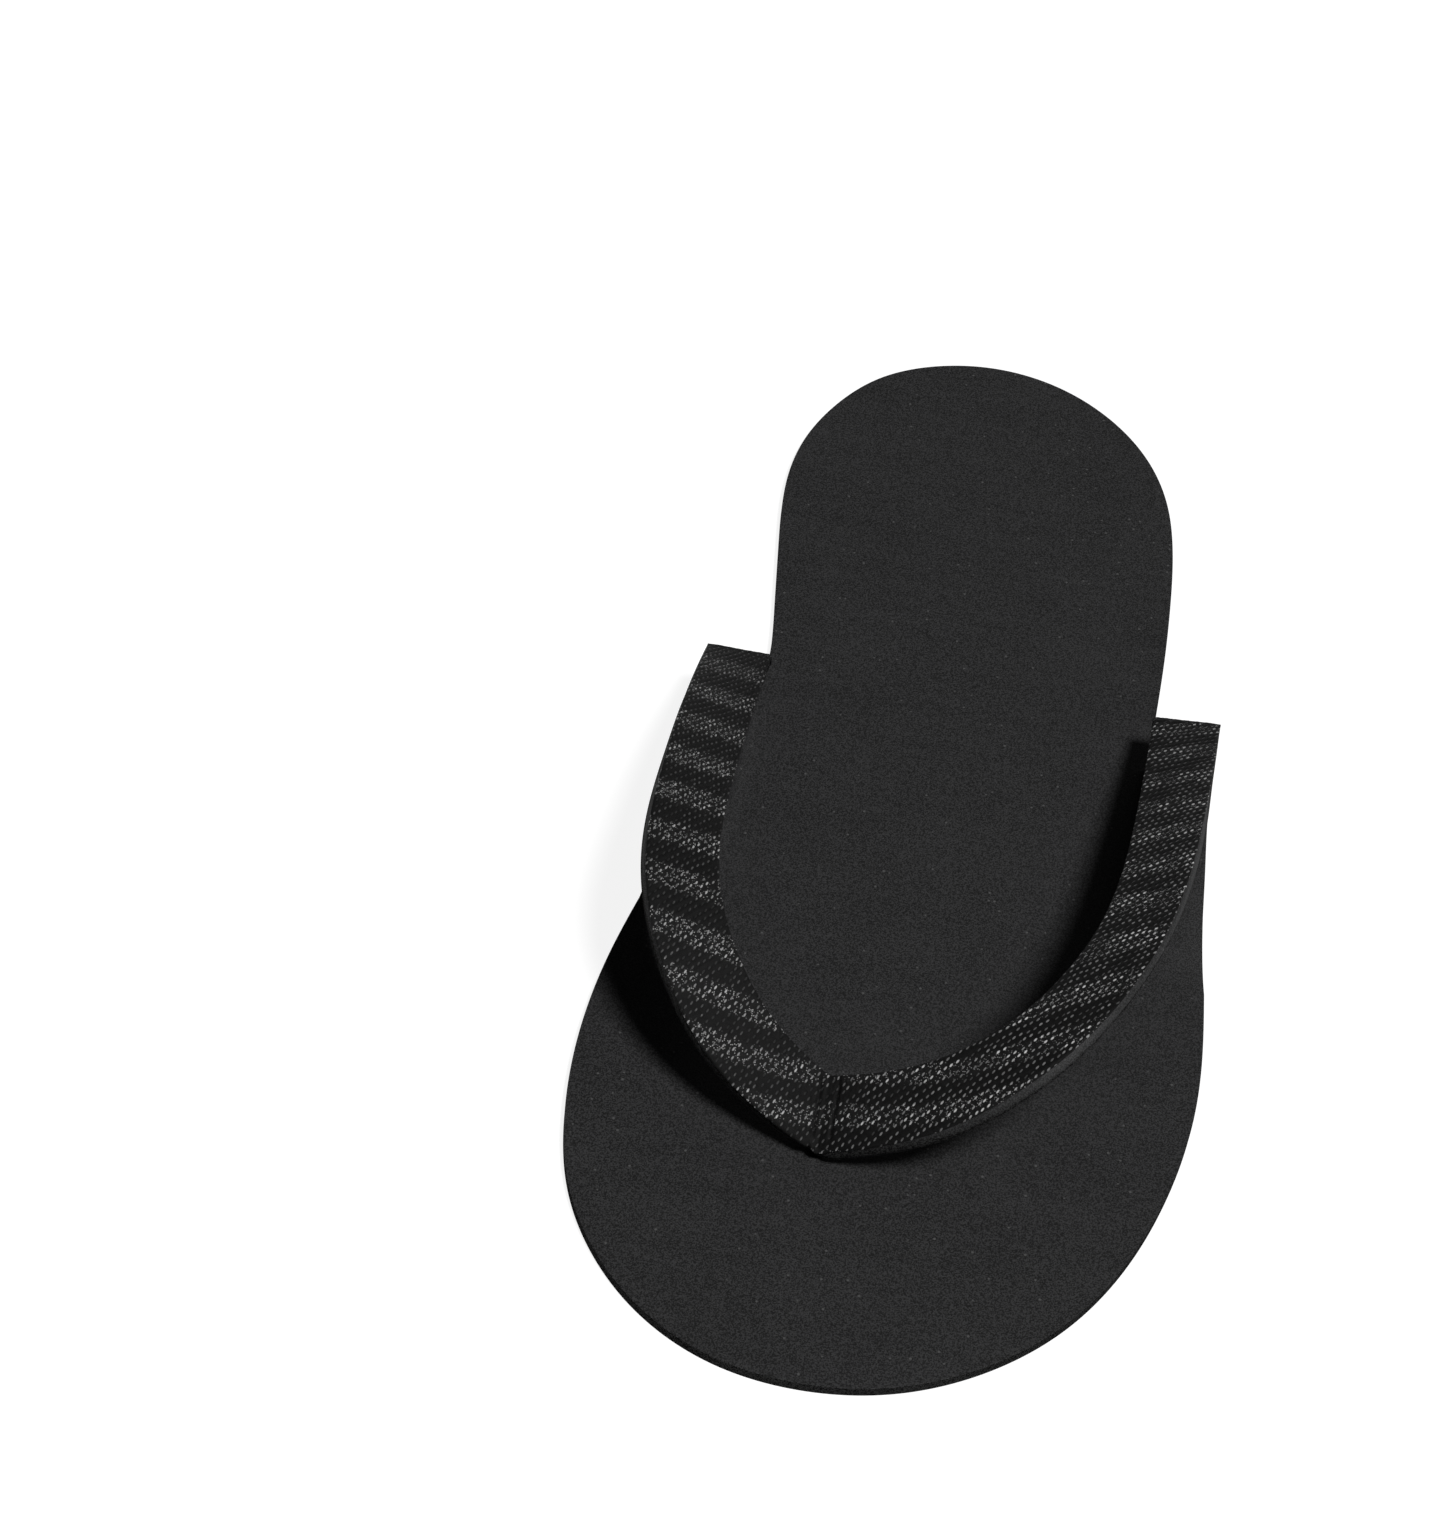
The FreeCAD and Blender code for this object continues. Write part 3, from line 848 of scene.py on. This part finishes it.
class Shader:
    """Short way to add and join the nodes of one material."""

    def __init__(self, name):
        """Starts a material of that name."""
        self.material = bpy.data.materials.new(name)
        self.material.use_nodes = True
        self.nodes = self.material.node_tree.nodes
        self.links = self.material.node_tree.links
        self.surface = self.nodes["Principled BSDF"]

    def add(self, kind, inputs=None, **settings):
        """New node, with its settings and its inputs' values or links."""
        node = self.nodes.new(kind)
        for key, value in settings.items():
            setattr(node, key, value)
        for key, value in (inputs or {}).items():
            self.set(node.inputs[key], value)
        return node

    def set(self, socket, value):
        """Links another node's output to an input, or gives the input a value."""
        if isinstance(value, bpy.types.NodeSocket):
            self.links.new(value, socket)
        else:
            socket.default_value = value

    def math(self, operation, first, second=0.0, third=0.0, clamp=False):
        """Result of a sum on numbers."""
        node = self.add("ShaderNodeMath", operation=operation, use_clamp=clamp)
        for socket, value in zip(node.inputs, (first, second, third)):
            self.set(socket, value)
        return node.outputs[0]

    def vector(self, operation, first, second=(0, 0, 0), output=0):
        """Result of a sum on vectors; a number result is output 1."""
        node = self.add("ShaderNodeVectorMath", operation=operation)
        self.set(node.inputs[0], first)
        self.set(node.inputs[1], second)
        return node.outputs[output]

    def ramp(self, value, low, high):
        """Smooth rise from 0 at low to 1 at high, which may be the smaller of the two."""
        inputs = {"Value": value, "From Min": low, "From Max": high}
        return self.add("ShaderNodeMapRange", inputs, interpolation_type="SMOOTHSTEP").outputs["Result"]

    def noise(self, place, scale, detail=3.0, roughness=0.6):
        """Soft random pattern, around 0.5."""
        node = self.add("ShaderNodeTexNoise", {"Vector": place, "Scale": scale, "Detail": detail,
                                               "Roughness": roughness})
        return node.outputs["Fac"]

    def mix(self, share, first, second):
        """Colour between two colours."""
        node = self.add("ShaderNodeMix", data_type="RGBA")
        self.set(node.inputs["Factor"], share)
        for socket, value in ((node.inputs[6], first), (node.inputs[7], second)):
            self.set(socket, value if isinstance(value, bpy.types.NodeSocket) else (*value, 1.0))
        return node.outputs[2]

    def bump(self, height, distance):
        """Normal that shows a height as relief."""
        node = self.add("ShaderNodeBump", {"Height": height, "Distance": distance, "Strength": 1.0})
        return node.outputs["Normal"]

    def finish(self, color, roughness, normal, specular):
        """Gives the surface its colour, gloss and relief."""
        self.set(self.surface.inputs["Base Color"], color)
        self.set(self.surface.inputs["Roughness"], roughness)
        self.set(self.surface.inputs["Normal"], normal)
        self.set(self.surface.inputs["Specular IOR Level"], specular)
        return self.material


def grey(value, tint=1.0):
    """Grey colour, with its blue part scaled by the tint."""
    return (value, value, value * tint)


def foam_material(name, dark, light, roughness, specular, grain, edge=1.0, specks=True):
    """Closed-cell foam: fine grain, faint clouds and bands, pale specks and duller cut edges.

    Dark, light and specular are for flat faces, and edge scales the greys of cut edges.
    """
    shader = Shader(name)
    place = shader.add("ShaderNodeTexCoord").outputs["Object"]
    fine = shader.noise(place, GRAIN_FINE, 1.0, 0.5)
    coarse = shader.noise(place, GRAIN_COARSE, 2.0, 0.6)
    cloud = shader.noise(place, CLOUD_SCALE, 2.0, 0.5)
    band = shader.noise(shader.vector("MULTIPLY", place, BAND_STRETCH), 1.0, 2.0, 0.5)
    coarse_part = shader.math("MULTIPLY", coarse, 1 - GRAIN_FINE_SHARE)
    mottle = shader.math("MULTIPLY_ADD", fine, GRAIN_FINE_SHARE, coarse_part)
    tone = shader.ramp(mottle, *GRAIN_RANGE)
    for soft, amount in ((cloud, CLOUD_AMOUNT), (band, BAND_AMOUNT)):
        tone = shader.math("MULTIPLY_ADD", shader.math("SUBTRACT", soft, 0.5), amount, tone, clamp=True)
    color = shader.mix(tone, grey(dark, FOAM_TINT), grey(light, FOAM_TINT))
    if specks:
        cells = shader.add("ShaderNodeTexVoronoi", {"Vector": place, "Scale": SPECK_SCALE})
        chance = shader.add("ShaderNodeSeparateColor", {"Color": cells.outputs["Color"]}).outputs[0]
        chosen = shader.math("GREATER_THAN", chance, SPECK_CHANCE)
        close = shader.ramp(cells.outputs["Distance"], *SPECK_RADIUS)
        color = shader.mix(shader.math("MULTIPLY", chosen, close), color, grey(light * SPECK_GAIN))
    normal = shader.add("ShaderNodeNewGeometry").outputs["Normal"]
    upward = shader.add("ShaderNodeSeparateXYZ", {"Vector": normal}).outputs["Z"]
    level = shader.ramp(shader.math("ABSOLUTE", upward), *LEVEL_RANGE)
    color = shader.mix(level, shader.mix(tone, grey(dark * edge), grey(light * edge)), color)
    height = shader.math("MULTIPLY_ADD", fine, GRAIN_FINE_HEIGHT, coarse)
    rough = shader.math("MULTIPLY_ADD", coarse, GRAIN_ROUGHNESS, roughness - GRAIN_ROUGHNESS / 2)
    edge_rough = shader.math("ADD", rough, EDGE_ROUGHNESS)
    rough = shader.math("MULTIPLY_ADD", level, -EDGE_ROUGHNESS, edge_rough, clamp=True)
    return shader.finish(color, rough, shader.bump(height, grain),
                         shader.math("MULTIPLY", level, specular))


def bond_points(shader, flat, shift):
    """Mask of one sublattice of bond points, and a random number for each of them."""
    cell = shader.vector("DIVIDE", flat, (BOND_PITCH_X, BOND_PITCH_Y, 1))
    cell = shader.vector("ADD", cell, (shift, shift, 0))
    local = shader.vector("SUBTRACT", shader.vector("FRACTION", cell), (0.5, 0.5, 0))
    local = shader.vector("MULTIPLY", local, (BOND_PITCH_X, BOND_PITCH_Y, 0))
    noise = shader.add("ShaderNodeTexWhiteNoise", {"Vector": shader.vector("FLOOR", cell)},
                       noise_dimensions="2D")
    stray = shader.vector("SUBTRACT", noise.outputs["Color"], (0.5, 0.5, 0.5))
    local = shader.vector("ADD", local, shader.vector("MULTIPLY", stray, (BOND_STRAY, BOND_STRAY, 0)))
    turned = shader.add("ShaderNodeVectorRotate", {"Vector": local, "Angle": -BOND_SLANT},
                        rotation_type="Z_AXIS")
    scaled = shader.vector("MULTIPLY", turned.outputs[0], (2 / BOND_LENGTH, 2 / BOND_WIDTH, 0))
    square = shader.vector("DOT_PRODUCT", scaled, scaled, output=1)
    return shader.ramp(square, *BOND_EDGE), noise.outputs["Value"]


def stripe_mask(shader, flat, number):
    """1 on the light stripes and 0 on the dark ones, with frayed borders."""
    wave = shader.math("COSINE", shader.math("MULTIPLY", number, 2 * math.pi))
    fray = shader.math("SUBTRACT", shader.noise(flat, FRAY_SCALE), 0.5)
    fray = shader.math("MULTIPLY", fray, FRAY_AMOUNT)
    return shader.ramp(shader.math("ADD", wave, fray), *STRIPE_RANGE)


def fibre_mask(shader, flat):
    """Loose fibres in three directions."""
    fibres = []
    for turn in FIBRE_TURNS:
        turned = shader.add("ShaderNodeVectorRotate", {"Vector": flat, "Angle": turn},
                            rotation_type="Z_AXIS")
        stretched = shader.vector("MULTIPLY", turned.outputs[0], FIBRE_STRETCH)
        fibres.append(shader.noise(stretched, 1.0, 1.0, 0.5))
    fibre = shader.math("MAXIMUM", fibres[0], shader.math("MAXIMUM", fibres[1], fibres[2]))
    return shader.ramp(fibre, *FIBRE_RANGE)


def bond_and_highlight_masks(shader, flat, outer_arm, light, far_end):
    """Mask of the bond points, and the painted highlight of each of them and of each stray glint."""
    # More bond points get a bright painted highlight on the outer arm than on the inner arm
    power = shader.math("MULTIPLY_ADD", outer_arm, -1.0, 2.0)
    masks, highlights = [], []
    for shift in SUBLATTICES:
        mask, chance = bond_points(shader, flat, shift)
        masks.append(mask)
        shine = shader.math("POWER", chance, power)
        shine = shader.math("MULTIPLY_ADD", shine, 1 - BOND_LEAST_SHINE, BOND_LEAST_SHINE)
        highlights.append(shader.math("MULTIPLY", mask, shine))
    bond = shader.math("MAXIMUM", masks[0], masks[1])
    highlight = shader.math("MAXIMUM", highlights[0], highlights[1])
    # Stray glints painted in the light stripes, weaker on the outer arm
    cells = shader.add("ShaderNodeTexVoronoi", {"Vector": flat, "Scale": GLINT_SCALE},
                       voronoi_dimensions="2D")
    chance = shader.add("ShaderNodeSeparateColor", {"Color": cells.outputs["Color"]}).outputs[0]
    glint = shader.math("MULTIPLY", shader.ramp(cells.outputs["Distance"], *GLINT_RADIUS),
                        shader.ramp(chance, *GLINT_CHANCE))
    kept = shader.math("MULTIPLY_ADD", outer_arm, -OUTER_ARM_GLINT_LOSS, 1.0)
    glint = shader.math("MULTIPLY", glint, kept)
    glint = shader.math("MULTIPLY", glint, light)
    highlight = shader.math("MAXIMUM", highlight, glint)
    # The painted highlights fade towards the ear ends, where the strap turns away from the light
    kept = shader.math("MULTIPLY_ADD", far_end, -FAR_END_HIGHLIGHT_LOSS, 1.0)
    return bond, shader.math("MULTIPLY", highlight, kept)


def crimp_shade_mask(shader, x, y):
    """Painted shade in the crimp grooves at the strap's point; the pressed cloth between them is darkened
    less.
    """
    crimp_shade = 0.0
    for place in CRIMP_X:
        aside = shader.math("ABSOLUTE", shader.math("SUBTRACT", x, place))
        line = shader.ramp(aside, CRIMP_WIDTH * CRIMP_EDGE[0], CRIMP_WIDTH * CRIMP_EDGE[1])
        crimp_shade = shader.math("MAXIMUM", crimp_shade, line)
    middle = sum(CRIMP_X) / 2
    aside = shader.math("ABSOLUTE", shader.math("SUBTRACT", x, middle))
    pressed = shader.ramp(aside, CRIMP_X[1] - middle + PRESSED_MARGIN, CRIMP_X[1] - middle)
    crimp_shade = shader.math("MAXIMUM", crimp_shade, shader.math("MULTIPLY", pressed, PRESSED_DARKENING))
    low_end = shader.ramp(y, -CRIMP_END, CRIMP_END_FADE - CRIMP_END)
    return shader.math("MULTIPLY", crimp_shade, low_end)


def fabric_material(name):
    """Non-woven facing: printed stripes, fibres, painted highlights and glints, and painted shade in
    crimps.
    """
    shader = Shader(name)
    pattern = shader.add("ShaderNodeAttribute", attribute_name="pattern").outputs["Vector"]
    x, y, number = shader.add("ShaderNodeSeparateXYZ", {"Vector": pattern}).outputs
    flat = shader.vector("MULTIPLY", pattern, (1, 1, 0))
    # 0 on the inner arm and 1 on the outer arm, whose painted highlights and glints differ
    outer_arm = shader.ramp(x, *OUTER_ARM_RANGE)
    far_end = shader.ramp(y, *FAR_END_RANGE)
    light = stripe_mask(shader, flat, number)
    fibre = fibre_mask(shader, flat)
    bond, highlight = bond_and_highlight_masks(shader, flat, outer_arm, light, far_end)
    crimp_shade = crimp_shade_mask(shader, x, y)
    dark_cloth = shader.mix(fibre, *map(grey, DARK_CLOTH))
    light_cloth = shader.mix(fibre, *map(grey, LIGHT_CLOTH))
    color = shader.mix(light, dark_cloth, light_cloth)
    # Greys of the highlights painted on the bond points, brighter on the outer arm
    dark_bond_highlight = shader.mix(outer_arm, *map(grey, DARK_STRIPE_BOND_HIGHLIGHT))
    light_bond_highlight = shader.mix(outer_arm, *map(grey, LIGHT_STRIPE_BOND_HIGHLIGHT))
    color = shader.mix(highlight, color, shader.mix(light, dark_bond_highlight, light_bond_highlight))
    # Painted shade in the crimps
    color = shader.mix(crimp_shade, color, grey(CRIMP_SHADE_GREY))
    rough = shader.math("MULTIPLY_ADD", bond, -BOND_ROUGHNESS_LOSS, FABRIC_ROUGHNESS)
    pressed = shader.math("MULTIPLY", bond, -BOND_DEPTH)
    height = shader.math("MULTIPLY_ADD", fibre, FIBRE_HEIGHT, pressed)
    specular = shader.math("MULTIPLY_ADD", highlight, SPARK_SPECULAR, FABRIC_SPECULAR)
    return shader.finish(color, rough, shader.bump(height, FABRIC_BUMP), specular)


def floor_material():
    """White, faintly glowing table top that keeps cast shadows pale."""
    shader = Shader("floor_white")
    place = shader.add("ShaderNodeTexCoord").outputs["Object"]
    color = shader.mix(shader.noise(place, FLOOR_CLOUD_SCALE), *map(grey, FLOOR_GREYS))
    shader.set(shader.surface.inputs["Emission Color"], (1, 1, 1, 1))
    shader.set(shader.surface.inputs["Emission Strength"], FLOOR_GLOW)
    relief = shader.bump(shader.noise(place, FLOOR_GRAIN_SCALE), FLOOR_BUMP)
    return shader.finish(color, FLOOR_ROUGHNESS, relief, FLOOR_SPECULAR)


# ---------------------------------------------------------------- studio

# Places are in millimetres and angles in radians; a direction points towards its light
CAMERA_PLACE = (-7.7, -481.7, 493.4)
CAMERA_TARGET = (-40.4, 5.4, 0.0)
CAMERA_ROLL = 0.1221
CAMERA_LENS = 85.5
CAMERA_NEAREST = 0.01
LIGHT_DISTANCE = 1000.0
KEY_DIRECTION = (0.355, -0.258, 0.899)
KEY_STRENGTH = 2.75
KEY_ANGLE = 0.26
BACK_DIRECTION = (0.235, 0.875, 0.423)
BACK_STRENGTH = 0.09
BACK_ANGLE = 0.8
AMBIENT = 0.012
FLOOR_SIZE = 60000.0


def look(place, target, roll=0.0):
    """Placement at a place, looking at a target and rolled about that line."""
    turn = (Vector(target) - Vector(place)).to_track_quat("-Z", "Y").to_matrix().to_4x4()
    return Matrix.Translation(Vector(place) * MM) @ turn @ Matrix.Rotation(roll, 4, "Z")


def make_camera():
    """Camera at the photo's viewing angle."""
    camera = bpy.data.objects.new("camera", bpy.data.cameras.new("camera"))
    bpy.context.scene.collection.objects.link(camera)
    camera.data.lens = CAMERA_LENS
    camera.data.clip_start = CAMERA_NEAREST
    camera.matrix_world = look(CAMERA_PLACE, CAMERA_TARGET, CAMERA_ROLL)
    bpy.context.scene.camera = camera


def make_light(name, direction, strength, angle):
    """Even, soft-edged light that falls from one direction."""
    data = bpy.data.lights.new(name, "SUN")
    data.energy = strength
    data.angle = angle
    light = bpy.data.objects.new(name, data)
    bpy.context.scene.collection.objects.link(light)
    light.matrix_world = look(Vector(direction).normalized() * LIGHT_DISTANCE, (0, 0, 0))


def make_studio():
    """Floor, lights, background and camera."""
    half = FLOOR_SIZE / 2
    corners = np.array([(-half, -half, 0), (half, -half, 0), (half, half, 0), (-half, half, 0)], float)
    floor = make_mesh_object("floor", corners, [[0, 1, 2, 3]], floor_material(), smooth=False)
    make_light("key", KEY_DIRECTION, KEY_STRENGTH, KEY_ANGLE)
    make_light("back", BACK_DIRECTION, BACK_STRENGTH, BACK_ANGLE)
    world = bpy.data.worlds.new("studio")
    world.use_nodes = True
    world.node_tree.nodes["Background"].inputs["Color"].default_value = (1, 1, 1, 1)
    world.node_tree.nodes["Background"].inputs["Strength"].default_value = AMBIENT
    bpy.context.scene.world = world
    bpy.context.scene.view_settings.view_transform = "Standard"
    make_camera()


def main():
    """Builds every piece and the studio."""
    sole_foam = foam_material("sole_foam", dark=0.004, light=0.034, roughness=0.62, specular=0.35,
                              grain=0.00006, edge=0.85)
    strap_foam = foam_material("strap_foam", dark=0.004, light=0.03, roughness=0.66, specular=0.35,
                               grain=0.00006)
    melted = foam_material("melted_foam", dark=0.004, light=0.014, roughness=0.5, specular=0.3,
                           grain=0.00004, specks=False)
    make_sole(sole_foam)
    make_foam_strip(strap_foam)
    make_facing(fabric_material("striped_fabric"))
    make_toe_post(strap_foam)
    for side in EARS:
        make_nose(side, melted)
    make_studio()


main()
